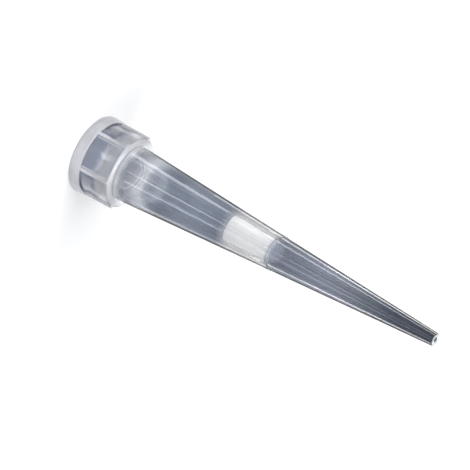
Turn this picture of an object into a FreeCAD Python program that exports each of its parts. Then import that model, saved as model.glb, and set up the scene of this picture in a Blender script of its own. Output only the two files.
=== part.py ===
"""Pipette tip with an aerosol filter, in millimetres.

The tip stands on the rim of its collar, with its axis on +Z and the centre of the rim's face at
the origin. tip_body is one moulding: rim, ribbed collar, tapered body, step and nozzle, with a
socket for the pipette's cone and a bore right through. filter_plug is the porous plug that is
pressed into the bore, down to the shoulder at the step.
"""
import FreeCAD, Part
import os

import Sketcher

SIZES = [
    ("tip_length", 42.5),
    # rim and ribbed collar
    ("rim_radius", 4.20),
    ("rim_taper", 0.06),
    ("rim_height", 1.30),
    ("rim_rounding", 0.24),
    ("collar_radius", 3.84),
    ("collar_end_radius", 3.80),
    ("collar_height", 4.70),
    ("collar_chamfer", 0.08),
    ("root_rounding", 0.12),
    ("rib_count", 6),
    ("rib_radius", 4.08),
    ("rib_crest", 0.36),
    ("rib_foot", 0.66),
    ("rib_root", 0.20),
    ("rib_draft", 0.4),
    # tapered body, step and nozzle
    ("body_radius", 2.97),
    ("land_radius", 1.87),
    ("land_height", 0.78),
    ("step_height", 23.38),
    ("step_depth", 0.06),
    ("nozzle_radius", 0.68),
    ("nozzle_chamfer", 0.06),
    # socket for the pipette's cone
    ("mouth_radius", 3.00),
    ("mouth_lead", 0.40),
    ("socket_radius", 2.80),
    ("socket_depth", 3.10),
    ("seat_height", 0.50),
    # bore
    ("chamber_radius", 1.90),
    ("chamber_end_radius", 1.18),
    ("shoulder_height", 22.85),
    ("shoulder_drop", 0.06),
    ("fluid_radius", 1.12),
    ("point_height", 33.80),
    ("point_radius", 0.70),
    ("orifice_radius", 0.26),
    # filter
    ("filter_length", 5.15),
    ("filter_clearance", 0.01),
    ("filter_chamfer", 0.08),
]

TOUCH = 1e-4  # how near an edge lies to the place where it is looked for


def fill_sheet(document):
    """Put the driving dimensions in a spreadsheet, each under its own alias."""
    sheet = document.addObject("Spreadsheet::Sheet", "sizes")
    for row, (alias, value) in enumerate(SIZES, start=1):
        sheet.set(f"A{row}", alias)
        sheet.set(f"B{row}", str(value))
        sheet.setAlias(f"B{row}", alias)
    document.recompute()
    return sheet


def origin_part(body, role):
    """The body's own origin plane or axis that has this role."""
    return next(part for part in body.Origin.OriginFeatures if part.Role == role)


def new_body(document, label):
    body = document.addObject("PartDesign::Body", label)
    body.Label = label
    return body


def new_sketch(body, name, plane):
    sketch = body.newObject("Sketcher::SketchObject", name)
    sketch.AttachmentSupport = (origin_part(body, plane), "")
    sketch.MapMode = "FlatFace"
    return sketch


def bound_outline(sketch, corners):
    """Draw a closed outline whose corners are bound to expressions of the sheet.

    A corner is (across, up), and "0" puts it on the sketch's own axis.
    """
    count = len(corners)
    start = [FreeCAD.Vector(1 + index % 2, 1 + index, 0) for index in range(count)]
    for index in range(count):
        sketch.addGeometry(Part.LineSegment(start[index], start[(index + 1) % count]), False)
    for index in range(count):
        sketch.addConstraint(Sketcher.Constraint("Coincident", index, 2, (index + 1) % count, 1))
    for index, (across, up) in enumerate(corners):
        for kind, axis, expression in (("DistanceX", -2, across), ("DistanceY", -1, up)):
            if expression == "0":
                sketch.addConstraint(Sketcher.Constraint("PointOnObject", index, 1, axis))
                continue
            placed = start[index].x if kind == "DistanceX" else start[index].y
            number = sketch.addConstraint(Sketcher.Constraint(kind, -1, 1, index, 1, placed))
            sketch.setExpression(f"Constraints[{number}]", expression)


def revolve(body, name, kind, corners):
    """Turn an outline (radius, height) about the body's Z axis, to add or to cut."""
    sketch = new_sketch(body, name + "_outline", "XZ_Plane")
    bound_outline(sketch, corners)
    feature = body.newObject(kind, name)
    feature.Profile = sketch
    feature.ReferenceAxis = (sketch, ["V_Axis"])
    feature.Angle = 360
    return feature


def circle_edges(shape, radius, height):
    """Names of the round edges of this radius about Z, at this height."""
    names = []
    for number, edge in enumerate(shape.Edges, start=1):
        curve = edge.Curve
        if not isinstance(curve, Part.Circle):
            continue
        on_axis = abs(curve.Center.x) < TOUCH and abs(curve.Center.y) < TOUCH
        if on_axis and abs(curve.Radius - radius) < TOUCH and abs(curve.Center.z - height) < TOUCH:
            names.append(f"Edge{number}")
    return names


def round_edges(body, base, name, edges):
    """Round these edges of the base feature, by the sheet's size of the same name."""
    rounding = body.newObject("PartDesign::Fillet", name)
    rounding.Base = (base, edges)
    rounding.setExpression("Radius", f"sizes.{name}")
    return rounding


def chamfer_edges(body, base, name, edges):
    """Chamfer these edges of the base feature, by the sheet's size of the same name."""
    chamfer = body.newObject("PartDesign::Chamfer", name)
    chamfer.Base = (base, edges)
    chamfer.setExpression("Size", f"sizes.{name}")
    return chamfer


def make_tip(document, sheet):
    body = new_body(document, "tip_body")

    outside = revolve(body, "outside", "PartDesign::Revolution", [
        ("0", "0"),
        ("sizes.rim_radius", "0"),
        ("sizes.rim_radius - sizes.rim_taper", "sizes.rim_height"),
        ("sizes.collar_radius", "sizes.rim_height"),
        ("sizes.collar_end_radius", "sizes.collar_height"),
        ("sizes.body_radius", "sizes.collar_height"),
        ("sizes.land_radius", "sizes.step_height - sizes.land_height"),
        ("sizes.land_radius", "sizes.step_height"),
        ("sizes.land_radius - sizes.step_depth", "sizes.step_height + sizes.step_depth"),
        ("sizes.nozzle_radius", "sizes.tip_length"),
        ("0", "sizes.tip_length"),
    ])
    document.recompute()

    rim_edges = circle_edges(outside.Shape, sheet.rim_radius, 0)
    rim_edges += circle_edges(outside.Shape, sheet.rim_radius - sheet.rim_taper, sheet.rim_height)
    rim = round_edges(body, outside, "rim_rounding", rim_edges)
    document.recompute()

    root_edges = circle_edges(rim.Shape, sheet.body_radius, sheet.collar_height)
    root = round_edges(body, rim, "root_rounding", root_edges)
    document.recompute()

    collar_edges = circle_edges(root.Shape, sheet.collar_end_radius, sheet.collar_height)
    collar = chamfer_edges(body, root, "collar_chamfer", collar_edges)
    document.recompute()

    nozzle_edges = circle_edges(collar.Shape, sheet.nozzle_radius, sheet.tip_length)
    chamfer_edges(body, collar, "nozzle_chamfer", nozzle_edges)
    document.recompute()

    rib = make_rib(document, body)
    ring = body.newObject("PartDesign::PolarPattern", "rib_ring")
    ring.Originals = [rib]
    ring.Axis = (origin_part(body, "Z_Axis"), [""])
    ring.Angle = 360
    ring.setExpression("Occurrences", "sizes.rib_count")
    body.Tip = ring
    document.recompute()

    revolve(body, "bore", "PartDesign::Groove", [
        ("0", "0"),
        ("sizes.mouth_radius", "0"),
        ("sizes.socket_radius", "sizes.mouth_lead"),
        ("sizes.socket_radius", "sizes.socket_depth"),
        ("sizes.chamber_radius", "sizes.socket_depth + sizes.seat_height"),
        ("sizes.chamber_end_radius", "sizes.shoulder_height"),
        ("sizes.fluid_radius", "sizes.shoulder_height + sizes.shoulder_drop"),
        ("sizes.point_radius", "sizes.point_height"),
        ("sizes.orifice_radius", "sizes.tip_length"),
        ("0", "sizes.tip_length"),
    ])
    document.recompute()
    return body


def make_rib(document, body):
    """One rib of the collar, on the +X side.

    Its flanks slope from foot to crest, and all of it has draft towards the nozzle.
    """
    sketch = new_sketch(body, "rib_section", "XY_Plane")
    sketch.setExpression("AttachmentOffset.Base.z", "sizes.rim_height / 2")
    bound_outline(sketch, [
        ("sizes.collar_radius - sizes.rib_root", "-sizes.rib_foot / 2"),
        ("sizes.rib_radius", "-sizes.rib_crest / 2"),
        ("sizes.rib_radius", "sizes.rib_crest / 2"),
        ("sizes.collar_radius - sizes.rib_root", "sizes.rib_foot / 2"),
    ])
    rib = body.newObject("PartDesign::Pad", "rib")
    rib.Profile = sketch
    rib.setExpression("Length", "sizes.collar_height - sizes.rim_height / 2")
    rib.setExpression("TaperAngle", "-sizes.rib_draft")
    document.recompute()
    return rib


def make_filter(document, sheet):
    """The plug: it fills the tapered bore from the shoulder up, line to line."""
    body = new_body(document, "filter_plug")
    taper = ("(sizes.chamber_radius - sizes.chamber_end_radius)"
             " / (sizes.shoulder_height - sizes.socket_depth - sizes.seat_height)")
    low_radius = "sizes.chamber_end_radius - sizes.filter_clearance"
    plug = revolve(body, "plug", "PartDesign::Revolution", [
        ("0", "sizes.shoulder_height - sizes.filter_length"),
        (f"{low_radius} + sizes.filter_length * {taper}",
         "sizes.shoulder_height - sizes.filter_length"),
        (low_radius, "sizes.shoulder_height"),
        ("0", "sizes.shoulder_height"),
    ])
    document.recompute()
    edges = [f"Edge{number}" for number, edge in enumerate(plug.Shape.Edges, start=1)
             if isinstance(edge.Curve, Part.Circle)]
    chamfer_edges(body, plug, "filter_chamfer", edges)
    document.recompute()
    return body


def check(document, bodies):
    """Stop on any failed feature, and on any sub-part that isn't one sound solid."""
    for item in document.Objects:
        if "Invalid" in item.State or "Error" in item.State:
            raise RuntimeError(f"{item.Label} failed: {item.State}")
    for body in bodies:
        shape = body.Shape
        if shape.isNull() or not shape.isValid() or len(shape.Solids) != 1:
            raise RuntimeError(f"{body.Label} is not one valid solid")


def main():
    document = FreeCAD.newDocument("pipette_tip")
    sheet = fill_sheet(document)
    bodies = [make_tip(document, sheet), make_filter(document, sheet)]
    check(document, bodies)
    os.makedirs("parts", exist_ok=True)
    for body in bodies:
        body.Shape.exportStep(f"parts/{body.Label}.step")
        box = body.Shape.BoundBox
        print(f"{body.Label}: volume {body.Shape.Volume:.3f}, Z {box.ZMin:.2f} to {box.ZMax:.2f}")


main()
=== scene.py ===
"""A clear pipette tip with a white filter plug, standing on its rim in a pale studio."""

import math

import bpy
from mathutils import Matrix, Vector


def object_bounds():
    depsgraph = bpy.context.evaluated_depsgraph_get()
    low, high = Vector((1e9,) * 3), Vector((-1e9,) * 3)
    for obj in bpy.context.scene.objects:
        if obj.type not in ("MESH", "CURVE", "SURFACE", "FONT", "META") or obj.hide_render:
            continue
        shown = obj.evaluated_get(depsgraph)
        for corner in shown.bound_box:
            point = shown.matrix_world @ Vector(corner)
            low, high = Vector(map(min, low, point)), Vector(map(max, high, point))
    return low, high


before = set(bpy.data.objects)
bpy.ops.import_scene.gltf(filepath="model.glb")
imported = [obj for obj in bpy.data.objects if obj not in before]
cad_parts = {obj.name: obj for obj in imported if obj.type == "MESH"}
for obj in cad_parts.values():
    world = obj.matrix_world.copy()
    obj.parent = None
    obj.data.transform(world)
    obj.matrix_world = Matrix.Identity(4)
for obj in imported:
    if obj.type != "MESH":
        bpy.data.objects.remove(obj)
cad_low, cad_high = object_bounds()
scene = bpy.context.scene
MM = 0.001
WHITE = (1.0, 1.0, 1.0)

# The camera: a close long lens above the floor, rolled so that the tip points down to the right.
CAMERA_TARGET = (0.41 * MM, 0.0, 18.28 * MM)
CAMERA_DISTANCE = 400.0 * MM
CAMERA_ELEVATION = 25.94
CAMERA_ROLL = 118.68
CAMERA_LENS = 309.7
CAMERA_CLIP = (10.0 * MM, 20000.0 * MM)

# Colours of the clear skin along the tip: (share of the tip's length from the rim, colour).
# Besides the plastic's blue-grey cast they hold painted shade and light: the dark collar with a
# painted corner shadow as its darkest band just above the rim, the lighter stretches at the body's
# root and at the plug, the darker ones between and beyond them, and the near-black nozzle.
TIP_LENGTH = cad_high[2] / MM
TINTS_AND_PAINTED_SHADE = [
    (0.000, (0.10, 0.11, 0.14)),
    (0.033, (0.06, 0.07, 0.10)),
    (0.036, (0.04, 0.06, 0.12)),
    (0.062, (0.06, 0.08, 0.15)),
    (0.085, (0.40, 0.42, 0.47)),
    (0.113, (0.50, 0.52, 0.57)),
    (0.150, (0.40, 0.42, 0.47)),
    (0.163, (0.55, 0.57, 0.63)),
    (0.172, (0.92, 0.93, 0.95)),
    (0.184, (0.92, 0.93, 0.95)),
    (0.196, (0.36, 0.40, 0.48)),
    (0.212, (0.205, 0.235, 0.30)),
    (0.228, (0.155, 0.185, 0.245)),
    (0.240, (0.13, 0.16, 0.22)),
    (0.256, (0.15, 0.18, 0.24)),
    (0.270, (0.20, 0.23, 0.30)),
    (0.290, (0.235, 0.27, 0.345)),
    (0.350, (0.185, 0.215, 0.28)),
    (0.405, (0.145, 0.17, 0.235)),
    (0.425, (0.57, 0.57, 0.57)),
    (0.535, (0.57, 0.57, 0.57)),
    (0.556, (0.115, 0.135, 0.19)),
    (0.680, (0.18, 0.202, 0.262)),
    (0.750, (0.155, 0.173, 0.222)),
    (0.810, (0.085, 0.105, 0.140)),
    (0.880, (0.030, 0.040, 0.070)),
    (1.000, (0.010, 0.016, 0.034)),
]
# The light that each wall of the plastic lets through to what it shades, given in the same way.
# Its changes along the tip are painted light and shade: the walls pass more at the body's root
# and most at the plug, which lights them, and less above the plug, which shades the plug's top.
PAINTED_PASSED_LIGHT = [
    (0.000, (0.84, 0.85, 0.87)),
    (0.100, (0.84, 0.85, 0.87)),
    (0.115, (0.98, 0.98, 0.98)),
    (0.205, (0.98, 0.98, 0.98)),
    (0.225, (0.84, 0.85, 0.87)),
    (0.400, (0.84, 0.85, 0.87)),
    (0.430, (1.00, 0.985, 0.965)),
    (0.540, (1.00, 0.985, 0.965)),
    (0.555, (0.50, 0.51, 0.54)),
    (1.000, (0.50, 0.51, 0.54)),
]
# Colours of the frosted places, given in the same way. They turn lighter at the body's root,
# partly as painted light there. The ribs and the ring at the collar's end have their own, and so
# does the painted shade in the corner above the ring.
FROST_COLOURS_AND_PAINTED_LIGHT = [
    (0.000, (0.58, 0.58, 0.60)),
    (0.055, (0.58, 0.58, 0.60)),
    (0.075, (0.60, 0.60, 0.62)),
    (0.100, (0.66, 0.66, 0.68)),
    (0.109, (0.68, 0.68, 0.70)),
    (0.1115, (0.70, 0.70, 0.72)),
    (0.113, (0.88, 0.88, 0.89)),
    (1.000, (0.88, 0.88, 0.89)),
]
RIB_COLOUR = (0.68, 0.68, 0.71)
RING_COLOUR = (0.50, 0.50, 0.52)
# Painted shade: the darker colour of the corner where the body leaves the collar.
PAINTED_CORNER_SHADE = (0.42, 0.43, 0.47)

# How frosted each place is, from 0 (clear) to 1.
RIB_FROST = 0.7
THICK_FROST = 0.48
COLLAR_FROST = 0.12
ROOT_FROST = 0.95

# How much light enters the plastic, how rough it is, and the cloud that varies gloss and frost.
CLEAR_SHARE = 0.98
FROST_SHARE = 0.45
CLEAR_ROUGH = (0.02, 0.12)
FROST_ROUGH = 0.25
CHALK_SHADES = (0.90, 1.08)
CLOUD_SCALE = 600.0
CLOUD_DETAIL = 4.0
CLOUD_EDGE = (0.35, 0.65)

# Where each mask begins and ends, in mm. FLAT_LEVEL is how level a face lies, from 0 to 1.
RIB_PITCH = math.radians(60.0)  # the angle from rib to rib
RIB_SIDE = (0.28, 0.36)
RIB_SKIN = (3.70, 3.78)
RIM_TOP = (1.30, 1.34)
RIM_ROUNDING = (0.2, 0.4)
RIM_SKIN_LOW = (4.08, 4.13)
RIM_SKIN_HIGH = (3.95, 3.98)
FLAT_LEVEL = (0.70, 0.85)
FLAT_START = (2.0, 2.2)
RING_END = (5.0, 6.0)
THICK_START = (2.75, 3.3)
COLLAR_END = (4.70, 4.74)
ROOT_FADE = (4.85, 5.55)
CORNER_INNER = (2.60, 2.70)
CORNER_OUTER = (3.06, 3.12)
CORNER_LOW = (4.73, 4.76)
CORNER_HIGH = (4.84, 4.88)

# Only surfaces beyond this radius get the tint with its painted shade and light, so the bore stays
# colourless. The radius falls with the height, and it is larger in the collar.
SKIN_RADIUS = 2.65
SKIN_TAPER = 0.052
SKIN_COLLAR = 0.75
SKIN_COLLAR_END = (4.6, 4.7)

# Fine lines along the skin: their darkest and lightest share of the tint, stronger on the nozzle.
LINES_SCALE = 6.0
LINES_DETAIL = 3.0
LINES_STRETCH = 6.0
LINES_EDGE = (0.32, 0.68)
LINES_BODY = (0.84, 1.10)
LINES_NOZZLE = (0.60, 1.40)
NOZZLE_START = (23.0, 32.0)
LEAST_RADIUS = 0.05  # the lines need a radius above 0 to divide by

# Relief, with depths in mm: the lines, and a slight crown on the level faces of rim and collar.
LINES_BUMP = 0.12
LINES_DEPTH = 0.02
CROWN_DEPTH = 0.10
CROWN_END = (4.7, 5.0)

PLASTIC_IOR = 1.49
SPECULAR = 0.5
RIM_SPECULAR = 0.1
VOLUME_COLOUR = (0.68, 0.70, 0.73)
VOLUME_DENSITY = 400.0

# The plug, with depths in mm: its fused grains and pores, its colour painted darker towards the
# grains' edges as shade in the pores, a soft cloud that varies its colour, and how far light sinks
# in.
GRAIN_SCALE = 5200.0
GRAIN_SHARE = 0.55
PLUG_CLOUD_SCALE = 900.0
PLUG_CLOUD_DETAIL = 5.0
PLUG_CLOUD_SHARE = 0.45
PLUG_COLOURS_AND_PORE_SHADE = [(0.20, (0.95, 0.95, 0.96)), (0.75, (0.84, 0.84, 0.87))]
PLUG_ROUGH = 0.85
PORE_BUMP = 0.6
PORE_DEPTH = 0.04
PLUG_SCATTER = 0.8
PLUG_SCATTER_DEPTH = 0.9

FLOOR_SIZE = 6000.0 * MM
FLOOR_COLOUR = (0.96, 0.96, 0.96)

# The world's strength where it lights the object. Where it is seen, its strength is 1.
SKY = 0.50
# Suns: (name, azimuth, elevation, strength, apparent width), with angles in degrees.
KEYS = [
    ("key_left", -55.0, 47.0, 2.0, 50.0),
    ("key_right", 75.0, 35.0, 1.1, 50.0),
]

# Cards on the floor, which show only in gloss and give the skin the photo's bright bands:
# (name, azimuth, half spread, near, far, radiance), with angles in degrees and reaches in mm.
# The streaks are also seen through the plastic.
CARD_HEIGHT = 0.3
STREAKS = [
    ("wide_low", -67.0, 7.0, 12.0, 48.5, 7.5),
    ("wide_high", -67.0, 7.0, 64.0, 200.0, 7.5),
    ("front_low", 0.0, 2.5, 18.0, 51.5, 7.0),
    ("front_high", 0.0, 2.5, 68.0, 200.0, 5.0),
    ("side_low", 36.0, 2.5, 18.0, 50.5, 7.0),
    ("side_high", 36.0, 2.5, 66.0, 200.0, 5.0),
]
EDGES = [
    ("left_low", -124.0, 8.0, 5.2, 13.5, 2.0),
    ("left_middle", -124.0, 8.0, 33.5, 55.0, 3.6),
    ("left_high", -114.0, 8.0, 55.0, 75.0, 6.5),
    ("left_top", -114.0, 8.0, 75.0, 200.0, 11.0),
    ("right_low", 124.0, 8.0, 5.2, 10.0, 2.0),
    ("right_middle", 124.0, 8.0, 18.0, 55.0, 3.0),
    ("right_high", 103.0, 8.0, 55.0, 75.0, 6.5),
    ("right_top", 103.0, 8.0, 75.0, 200.0, 11.0),
]
EDGE_OFFSET = 3.0
FLAG = ("flag", 180.0, 46.0, 4.6, 300.0, 0.3)  # it shows dark in the gloss

# Cards on the floor beside the collar: (name, side, corners as (across, along) in mm, radiance).
PANEL_NEAR = ((5.2, -3.4), (5.6, 0.9), (7.6, 1.5), (7.6, -3.4))
PANEL_FAR = ((7.6, -3.4), (7.6, 1.5), (12.5, 2.4), (12.5, -3.4))
PANELS = [
    ("panel_left_low", -1.0, PANEL_NEAR, 3.3),
    ("panel_right_low", 1.0, PANEL_NEAR, 3.3),
    ("panel_left_high", -1.0, PANEL_FAR, 0.9),
    ("panel_right_high", 1.0, PANEL_FAR, 1.2),
]

# Thin cards on the floor from one start, (azimuth, reach), to an end each: (name, azimuth, reach).
GLINT_START = (1.7, 10.3)
GLINT_ENDS = [
    ("glint_left", -11.0, 8.6),
    ("glint_right", -14.2, 11.0),
]
GLINT_HALF_WIDTH = 0.25
GLINT = 14.0

# Cards that stand behind the tip: (name, azimuth, half spread, low and high elevation, radiance).
BACKS = [
    ("back_high", 180.0, 3.5, 30.0, 46.0, 34.0),
    ("back_low", 180.0, 40.0, 6.0, 20.0, 6.0),
]
BACK_DISTANCE = 400.0

# A ray crosses many walls of the clear tip, so it may go on for long.
MOST_BOUNCES = 24
GLOSSY_BOUNCES = 16


def add_node(tree, kind, settings=None, **inputs):
    """Adds a shader node. An input is a value or another node's output socket.

    An input's name is that of its socket, with _ for a space, or i and its number.
    """
    made = tree.nodes.new(kind)
    for name, value in (settings or {}).items():
        setattr(made, name, value)
    for name, value in inputs.items():
        key = int(name[1:]) if name[0] == "i" and name[1:].isdigit() else name.replace("_", " ")
        socket = made.inputs[key]
        if isinstance(value, bpy.types.NodeSocket):
            tree.links.new(value, socket)
        else:
            socket.default_value = value
    return made


def math_node(tree, operation, *values):
    """The result of a Math node on values or sockets."""
    inputs = {f"i{i}": v for i, v in enumerate(values)}
    return add_node(tree, "ShaderNodeMath", {"operation": operation}, **inputs).outputs[0]


def product(tree, first, *others):
    """The product of values or sockets."""
    if not others:
        return first
    return math_node(tree, "MULTIPLY", first, product(tree, *others))


def scaled(tree, colour, factor):
    """A colour times a factor."""
    return add_node(tree, "ShaderNodeVectorMath", {"operation": "SCALE"}, i0=colour,
                    Scale=factor).outputs[0]


def ramp(tree, factor, stops):
    """The colour of a ramp whose stops are (place, colour) pairs."""
    made = add_node(tree, "ShaderNodeValToRGB", i0=factor)
    elements = made.color_ramp.elements
    while len(elements) < len(stops):
        elements.new(0.5)
    for element, (place, colour) in zip(elements, stops):
        element.position = place
        element.color = (*colour, 1.0)
    return made.outputs["Color"]


def masked(tree, mask, low, high):
    """The value low where the mask is 0 and high where it is 1."""
    return add_node(tree, "ShaderNodeMapRange", i0=mask, i3=low, i4=high).outputs[0]


def rising(tree, value, low, high):
    """A mask that goes from 0 to 1 as the value goes from low to high."""
    return add_node(tree, "ShaderNodeMapRange", {"interpolation_type": "SMOOTHSTEP"},
                    i0=value, i1=low, i2=high, i3=0.0, i4=1.0).outputs[0]


def falling(tree, value, low, high):
    """A mask that goes from 1 to 0 as the value goes from low to high."""
    return math_node(tree, "SUBTRACT", 1.0, rising(tree, value, low, high))


def blend_colours(tree, mask, first, second):
    """The first colour where the mask is 0 and the second where it is 1."""
    made = tree.nodes.new("ShaderNodeMix")
    made.data_type = "RGBA"
    for key, value in ((0, mask), (6, first), (7, second)):
        if isinstance(value, bpy.types.NodeSocket):
            tree.links.new(value, made.inputs[key])
        else:
            made.inputs[key].default_value = (*value, 1.0)
    return made.outputs[2]


def new_tree(name):
    """An empty material and its node tree."""
    material = bpy.data.materials.new(name)
    material.use_nodes = True
    material.node_tree.nodes.clear()
    return material, material.node_tree


def skin_lines(tree, x, y, z, radius):
    """Noise drawn out along the tip, round its skin."""
    safe = product(tree, math_node(tree, "MAXIMUM", radius, LEAST_RADIUS), MM)
    around = add_node(tree, "ShaderNodeCombineXYZ",
                      i0=math_node(tree, "DIVIDE", x, safe),
                      i1=math_node(tree, "DIVIDE", y, safe),
                      i2=product(tree, z, LINES_STRETCH)).outputs[0]
    return add_node(tree, "ShaderNodeTexNoise", Vector=around, Scale=LINES_SCALE,
                    Detail=LINES_DETAIL).outputs[0]


def rib_mask(tree, x, y, radius, height):
    """1 on the ribs, above the rim."""
    turn = math_node(tree, "DIVIDE", math_node(tree, "ARCTAN2", y, x), RIB_PITCH)
    off_middle = math_node(tree, "SUBTRACT", turn, math_node(tree, "ROUND", turn))
    sine = math_node(tree, "SINE", product(tree, off_middle, RIB_PITCH))
    beside = math_node(tree, "ABSOLUTE", product(tree, radius, sine))
    return product(tree, rising(tree, height, *RIM_TOP),
                   falling(tree, beside, *RIB_SIDE), rising(tree, radius, *RIB_SKIN))


def rim_mask(tree, radius, height):
    """1 on the rim's outside and on its roundings."""
    low, high = (masked(tree, rising(tree, height, *RIM_ROUNDING), below, above)
                 for below, above in zip(RIM_SKIN_LOW, RIM_SKIN_HIGH))
    return product(tree, falling(tree, height, *RIM_TOP), rising(tree, radius, low, high))


def milky_mask(tree, height):
    """How frosted the thick wall of the collar is, and the root of the body just above it."""
    thick = product(tree, rising(tree, height, *THICK_START), THICK_FROST)
    collar = product(tree, math_node(tree, "MAXIMUM", thick, COLLAR_FROST),
                     falling(tree, height, *COLLAR_END))
    root = product(tree, masked(tree, rising(tree, height, *ROOT_FADE), ROOT_FROST, 0.0),
                   rising(tree, height, *COLLAR_END))
    return math_node(tree, "MAXIMUM", collar, root)


def skin_tint_and_painted_shade(tree, along, lines, radius, height):
    """The colour of the clear skin along the tip, which holds painted shade and light, with its
    fine lines. The bore's wall is colourless.
    """
    on_nozzle = rising(tree, height, *NOZZLE_START)
    dark, light = (masked(tree, on_nozzle, body, nozzle)
                   for body, nozzle in zip(LINES_BODY, LINES_NOZZLE))
    grain = masked(tree, rising(tree, lines, *LINES_EDGE), dark, light)
    # The ramp paints shade and light along the tip into the skin's colour.
    tint = scaled(tree, ramp(tree, along, TINTS_AND_PAINTED_SHADE), grain)
    more = masked(tree, rising(tree, height, *SKIN_COLLAR_END), SKIN_COLLAR, 0.0)
    inner = math_node(tree, "SUBTRACT", SKIN_RADIUS, product(tree, height, SKIN_TAPER))
    inner = math_node(tree, "ADD", inner, more)
    return blend_colours(tree, math_node(tree, "GREATER_THAN", radius, inner), WHITE, tint)


def painted_corner_shade_mask(tree, radius, height):
    """1 in the rounded corner where the body leaves the collar, which is painted darker as shade.
    """
    return product(tree, falling(tree, radius, *CORNER_OUTER), rising(tree, radius, *CORNER_INNER),
                   rising(tree, height, *CORNER_LOW), falling(tree, height, *CORNER_HIGH))


def clear_plastic():
    """Clear polypropylene with a blue-grey cast and painted shade and light along it, frosted on
    ribs, rim, seat and flat ends, and painted darker as shade in the corner above the collar.
    """
    material, tree = new_tree("clear_polypropylene_look")
    coordinates = add_node(tree, "ShaderNodeTexCoord").outputs
    place = coordinates["Object"]
    x, y, z = add_node(tree, "ShaderNodeSeparateXYZ", i0=place).outputs
    facing = add_node(tree, "ShaderNodeSeparateXYZ", i0=coordinates["Normal"]).outputs
    level = math_node(tree, "ABSOLUTE", facing[2])
    height = math_node(tree, "DIVIDE", z, MM)
    square = math_node(tree, "ADD", product(tree, x, x), product(tree, y, y))
    radius = math_node(tree, "DIVIDE", math_node(tree, "SQRT", square), MM)
    along = math_node(tree, "DIVIDE", height, TIP_LENGTH)
    lines = skin_lines(tree, x, y, z, radius)
    cloud = add_node(tree, "ShaderNodeTexNoise", Vector=place, Scale=CLOUD_SCALE,
                     Detail=CLOUD_DETAIL).outputs[0]

    on_rib = rib_mask(tree, x, y, radius, height)
    on_rim = rim_mask(tree, radius, height)
    flat = product(tree, rising(tree, level, *FLAT_LEVEL), rising(tree, height, *FLAT_START))
    outer = math_node(tree, "MAXIMUM", product(tree, on_rib, RIB_FROST), on_rim)
    matte = math_node(tree, "MAXIMUM", outer, milky_mask(tree, height))
    frost = math_node(tree, "MAXIMUM", matte, flat)

    # The frosted colour, lighter at the body's root partly as painted light there.
    frost_colour_and_light = scaled(tree, ramp(tree, along, FROST_COLOURS_AND_PAINTED_LIGHT),
                   masked(tree, rising(tree, cloud, *CLOUD_EDGE), *CHALK_SHADES))
    base = blend_colours(tree, frost, skin_tint_and_painted_shade(tree, along, lines, radius, height), frost_colour_and_light)
    base = blend_colours(tree, on_rib, base, RIB_COLOUR)
    on_ring = product(tree, flat, falling(tree, height, *RING_END))
    base = blend_colours(tree, on_ring, base, RING_COLOUR)
    # Painted shade in the corner where the body leaves the collar.
    base = blend_colours(tree, painted_corner_shade_mask(tree, radius, height), base, PAINTED_CORNER_SHADE)

    rough = math_node(tree, "ADD", masked(tree, cloud, *CLEAR_ROUGH),
                      masked(tree, matte, 0.0, FROST_ROUGH))
    in_collar = masked(tree, rising(tree, height, *CROWN_END), 1.0, 0.0)
    crowned = add_node(tree, "ShaderNodeBump", {"invert": True}, Strength=in_collar,
                       Distance=CROWN_DEPTH * MM, Height=radius).outputs[0]
    lined = add_node(tree, "ShaderNodeBump", Strength=LINES_BUMP, Distance=LINES_DEPTH * MM,
                     Height=lines, Normal=crowned).outputs[0]
    plastic = add_node(tree, "ShaderNodeBsdfPrincipled", Base_Color=base, Roughness=rough,
                       Normal=lined, IOR=PLASTIC_IOR,
                       Specular_IOR_Level=masked(tree, on_rim, SPECULAR, RIM_SPECULAR),
                       Transmission_Weight=masked(tree, frost, CLEAR_SHARE, FROST_SHARE)).outputs[0]
    # What lamps send through the walls, with painted light and shade along the tip.
    passing_with_painted_light = add_node(tree, "ShaderNodeBsdfTransparent",
                       Color=ramp(tree, along, PAINTED_PASSED_LIGHT)).outputs[0]
    shadow_ray = add_node(tree, "ShaderNodeLightPath").outputs["Is Shadow Ray"]
    surface = add_node(tree, "ShaderNodeMixShader", i0=shadow_ray, i1=plastic,
                       i2=passing_with_painted_light).outputs[0]
    inside = add_node(tree, "ShaderNodeVolumeAbsorption", Color=(*VOLUME_COLOUR, 1.0),
                      Density=VOLUME_DENSITY).outputs[0]
    add_node(tree, "ShaderNodeOutputMaterial", Surface=surface, Volume=inside)
    return material


def porous_plastic():
    """White sintered polyethylene: fused grains, painted darker towards their edges as shade in the
    pores between them.
    """
    material, tree = new_tree("porous_filter_look")
    place = add_node(tree, "ShaderNodeTexCoord").outputs["Object"]
    grains = add_node(tree, "ShaderNodeTexVoronoi", {"feature": "SMOOTH_F1"}, Vector=place,
                      Scale=GRAIN_SCALE).outputs["Distance"]
    cloud = add_node(tree, "ShaderNodeTexNoise", Vector=place, Scale=PLUG_CLOUD_SCALE,
                     Detail=PLUG_CLOUD_DETAIL).outputs[0]
    shade = math_node(tree, "ADD", product(tree, grains, GRAIN_SHARE),
                      product(tree, cloud, PLUG_CLOUD_SHARE))
    pores = add_node(tree, "ShaderNodeBump", {"invert": True}, Strength=PORE_BUMP,
                     Distance=PORE_DEPTH * MM, Height=grains).outputs[0]
    surface = add_node(tree, "ShaderNodeBsdfPrincipled", Base_Color=ramp(tree, shade, PLUG_COLOURS_AND_PORE_SHADE),
                       Roughness=PLUG_ROUGH, Normal=pores, Subsurface_Weight=PLUG_SCATTER,
                       Subsurface_Radius=WHITE, Subsurface_Scale=PLUG_SCATTER_DEPTH * MM).outputs[0]
    add_node(tree, "ShaderNodeOutputMaterial", Surface=surface)
    return material


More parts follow.
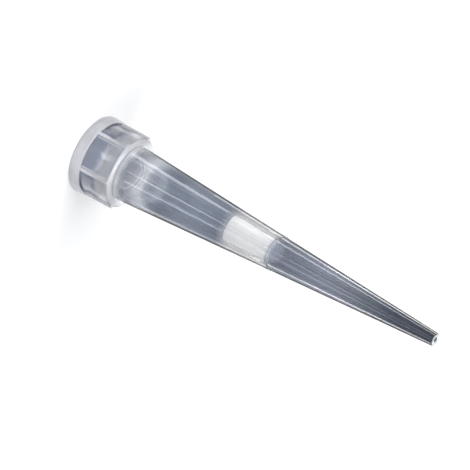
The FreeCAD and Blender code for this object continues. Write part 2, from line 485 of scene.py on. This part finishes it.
def plain_floor():
    """Pale matte studio floor."""
    material, tree = new_tree("studio_floor")
    surface = add_node(tree, "ShaderNodeBsdfDiffuse", Color=(*FLOOR_COLOUR, 1.0)).outputs[0]
    add_node(tree, "ShaderNodeOutputMaterial", Surface=surface)
    return material


def give(obj, material):
    """Puts one material in every slot of an object."""
    for slot in obj.material_slots:
        slot.material = material


def stage_sheet(name, corners, material):
    """A flat four-cornered piece of the stage."""
    mesh = bpy.data.meshes.new(name)
    mesh.from_pydata(corners, [], [(0, 1, 2, 3)])
    mesh.materials.append(material)
    obj = bpy.data.objects.new(name, mesh)
    scene.collection.objects.link(obj)
    return obj


def glow_card(name, corners, radiance, through=False):
    """A flat light that shows only in gloss, and through plastic where it is let through."""
    material, tree = new_tree(name + "_glow")
    glow = add_node(tree, "ShaderNodeEmission", Strength=radiance).outputs[0]
    add_node(tree, "ShaderNodeOutputMaterial", Surface=glow)
    obj = stage_sheet(name, corners, material)
    obj.visible_camera = False
    obj.visible_diffuse = False
    obj.visible_shadow = False
    obj.visible_volume_scatter = False
    obj.visible_transmission = through


def towards(azimuth, elevation=0.0):
    """The direction from the tip at an azimuth and an elevation in degrees.

    The azimuth is counted from the camera's side, -Y, towards +X.
    """
    a, e = math.radians(azimuth), math.radians(elevation)
    return Vector((math.sin(a) * math.cos(e), -math.cos(a) * math.cos(e), math.sin(e)))


def on_floor(point):
    """The place of a floor card's corner above this point."""
    return point.x, point.y, CARD_HEIGHT * MM


def floor_card(name, azimuth, spread, near, far, radiance, through=False, offset=0.0):
    """A card on the floor that fans out from the tip's axis, or from an offset beside it."""
    start = towards(azimuth / 2) * offset * MM
    fan = ((-spread, near), (spread, near), (spread, far), (-spread, far))
    corners = [on_floor(start + towards(azimuth + angle) * reach * MM) for angle, reach in fan]
    glow_card(name, corners, radiance, through)


def panel_card(name, side, outline, radiance):
    """A card on the floor with its own outline, on the tip's left (-1) or right (1)."""
    corners = [on_floor(Vector((side * across, along)) * MM) for across, along in outline]
    glow_card(name, corners, radiance)


def glint_card(name, azimuth, reach):
    """A thin card on the floor, from the glints' common start to an end of its own."""
    start = towards(GLINT_START[0]) * GLINT_START[1] * MM
    end = towards(azimuth) * reach * MM
    wide = (end - start).cross(Vector((0.0, 0.0, 1.0))).normalized() * GLINT_HALF_WIDTH * MM
    corners = [on_floor(point) for point in (start - wide, start + wide, end + wide, end - wide)]
    glow_card(name, corners, GLINT)


def standing_card(name, azimuth, spread, low, high, radiance):
    """A card that stands some way from the tip, between two elevations."""
    window = ((-spread, low), (spread, low), (spread, high), (-spread, high))
    corners = [towards(azimuth + angle, elevation) * BACK_DISTANCE * MM
               for angle, elevation in window]
    glow_card(name, corners, radiance)


def sun(name, azimuth, elevation, strength, width):
    """A far soft light of the given strength and apparent width in degrees."""
    data = bpy.data.lights.new(name, "SUN")
    data.energy = strength
    data.angle = math.radians(width)
    lamp = bpy.data.objects.new(name, data)
    scene.collection.objects.link(lamp)
    lamp.rotation_mode = "QUATERNION"
    lamp.rotation_quaternion = towards(azimuth, elevation).to_track_quat("Z", "Y")


def white_world():
    """The world: white where it is seen, and of strength SKY where it lights the object."""
    world = bpy.data.worlds.new("studio")
    scene.world = world
    world.use_nodes = True
    tree = world.node_tree
    tree.nodes.clear()
    ray = add_node(tree, "ShaderNodeLightPath").outputs
    in_plastic = math_node(tree, "MAXIMUM", ray["Is Glossy Ray"], ray["Is Transmission Ray"])
    seen = math_node(tree, "MAXIMUM", ray["Is Camera Ray"], in_plastic)
    background = add_node(tree, "ShaderNodeBackground", Color=(*WHITE, 1.0),
                          Strength=masked(tree, seen, SKY, 1.0)).outputs[0]
    add_node(tree, "ShaderNodeOutputWorld", Surface=background)


def place_camera():
    """Adds the scene's camera, which looks down at its target with its roll."""
    data = bpy.data.cameras.new("camera")
    data.lens = CAMERA_LENS
    data.clip_start, data.clip_end = CAMERA_CLIP
    camera = bpy.data.objects.new("camera", data)
    scene.collection.objects.link(camera)
    place = Vector(CAMERA_TARGET) + towards(0.0, CAMERA_ELEVATION) * CAMERA_DISTANCE
    pitch = Matrix.Rotation(math.radians(90.0 - CAMERA_ELEVATION), 4, "X")
    roll = Matrix.Rotation(math.radians(CAMERA_ROLL), 4, "Z")
    camera.matrix_world = Matrix.Translation(place) @ pitch @ roll
    scene.camera = camera


give(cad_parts["tip_body"], clear_plastic())
give(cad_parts["filter_plug"], porous_plastic())

half = FLOOR_SIZE / 2
floor_corners = [(-half, -half, 0.0), (half, -half, 0.0), (half, half, 0.0), (-half, half, 0.0)]
stage_sheet("floor", floor_corners, plain_floor())
white_world()
for key in KEYS:
    sun(*key)

for streak in STREAKS:
    floor_card(*streak, through=True)
for edge in EDGES:
    floor_card(*edge, offset=EDGE_OFFSET)
for panel in PANELS:
    panel_card(*panel)
floor_card(*FLAG)
for end in GLINT_ENDS:
    glint_card(*end)
for back in BACKS:
    standing_card(*back)
place_camera()

scene.view_settings.view_transform = "Standard"
scene.cycles.max_bounces = MOST_BOUNCES
scene.cycles.transmission_bounces = MOST_BOUNCES
scene.cycles.glossy_bounces = GLOSSY_BOUNCES
scene.cycles.transparent_max_bounces = MOST_BOUNCES
